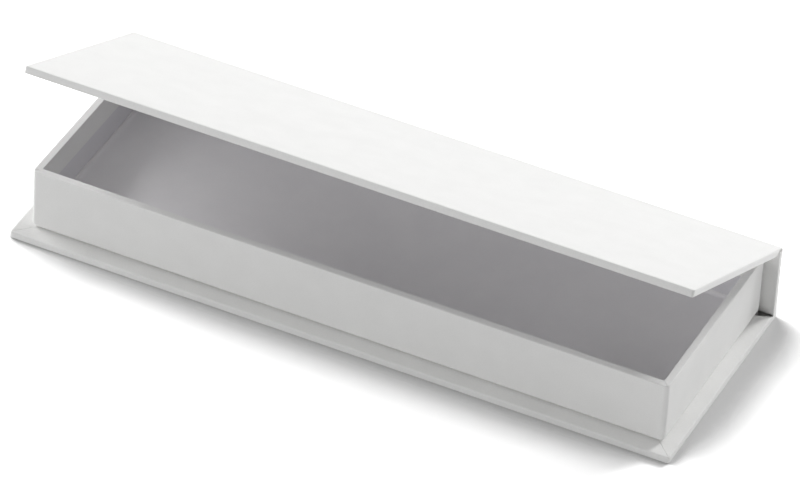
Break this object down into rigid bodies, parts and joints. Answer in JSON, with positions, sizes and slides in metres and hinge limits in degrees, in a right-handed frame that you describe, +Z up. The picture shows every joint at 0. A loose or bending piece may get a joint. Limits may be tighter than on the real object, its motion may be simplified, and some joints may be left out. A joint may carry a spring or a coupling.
{
  "type": "cardboard pencil box",
  "caption": "Book-style cardboard pencil box: paper-covered base, spine and lid boards with a glued-in tray, and a lid hinged by a fold of the cover paper along the top of the spine.",
  "frame": {"origin": "under the middle of the base panel, on the surface that the box stands on", "axes": "+X along the box to the right, +Y from the open front to the spine, +Z up"},
  "size_m": [0.22, 0.08, 0.0603],
  "materials": {
    "greyboard": "uncoated grey board",
    "cover_paper": "matte white wrapping paper",
    "lining_paper": "matte white lining paper",
    "kraft_tape": "gummed kraft tape"
  },
  "bodies": {
    "box": {"base_board": "greyboard", "spine_board": "greyboard", "case_cover": "cover_paper", "spine_lining": "lining_paper", "tray_front_board": "greyboard", "tray_back_board": "greyboard", "tray_left_board": "greyboard", "tray_right_board": "greyboard", "tray_floor_board": "greyboard", "tray_tape_front_left": "kraft_tape", "tray_tape_front_right": "kraft_tape", "tray_tape_back_left": "kraft_tape", "tray_tape_back_right": "kraft_tape", "tray_cover": "cover_paper", "tray_wall_lining": "lining_paper", "tray_floor_lining": "lining_paper", "hinge_cover": "cover_paper", "hinge_lining": "lining_paper"},
    "lid": {"lid_board": "greyboard", "lid_cover": "cover_paper", "lid_lining": "lining_paper"}
  },
  "joints": [
    {"name": "lid_fold", "type": "hinge", "parent": "box", "child": "lid", "pos_m": [0, 0.04, 0.0266], "axis": [-1, 0, 0], "range_deg": [-25, 170], "deforming": ["hinge_cover", "hinge_lining"]}
  ]
}
